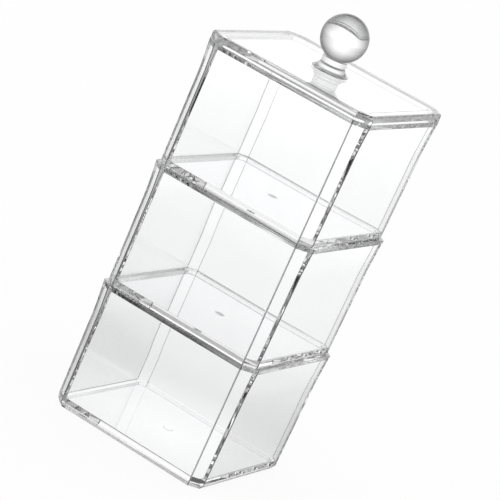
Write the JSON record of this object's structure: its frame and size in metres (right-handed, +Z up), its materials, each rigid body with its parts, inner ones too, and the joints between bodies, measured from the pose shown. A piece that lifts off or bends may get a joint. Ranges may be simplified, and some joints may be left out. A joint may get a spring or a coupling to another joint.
{
  "type": "stacking pad storage box",
  "caption": "Clear plastic storage box for cotton pads: square open-topped trays with cut corners nest in one another under a lid with a ball knob.",
  "frame": {"origin": "middle of the underside of the lowest tray, on the surface it stands on", "axes": "+Z up through the stack and the knob, +X and +Y square to the flat walls"},
  "size_m": [0.0954, 0.0954, 0.2366],
  "materials": {
    "tray_plastic": "clear, gloss",
    "lid_plastic": "clear, gloss",
    "knob_plastic": "clear, gloss"
  },
  "bodies": {
    "bottom": {"bottom_tray": "tray_plastic"},
    "middle": {"middle_tray": "tray_plastic"},
    "top": {"top_tray": "tray_plastic"},
    "lid": {"lid_panel": "lid_plastic", "knob_foot": "knob_plastic", "knob_ball": "knob_plastic"}
  },
  "joints": [
    {"name": "middle_tray_lift", "type": "slide", "parent": "bottom", "child": "middle", "axis": [0, 0, 1], "range_m": [0, 0.08]},
    {"name": "top_tray_lift", "type": "slide", "parent": "middle", "child": "top", "axis": [0, 0, 1], "range_m": [0, 0.08]},
    {"name": "lid_lift", "type": "slide", "parent": "top", "child": "lid", "axis": [0, 0, 1], "range_m": [0, 0.06]}
  ]
}
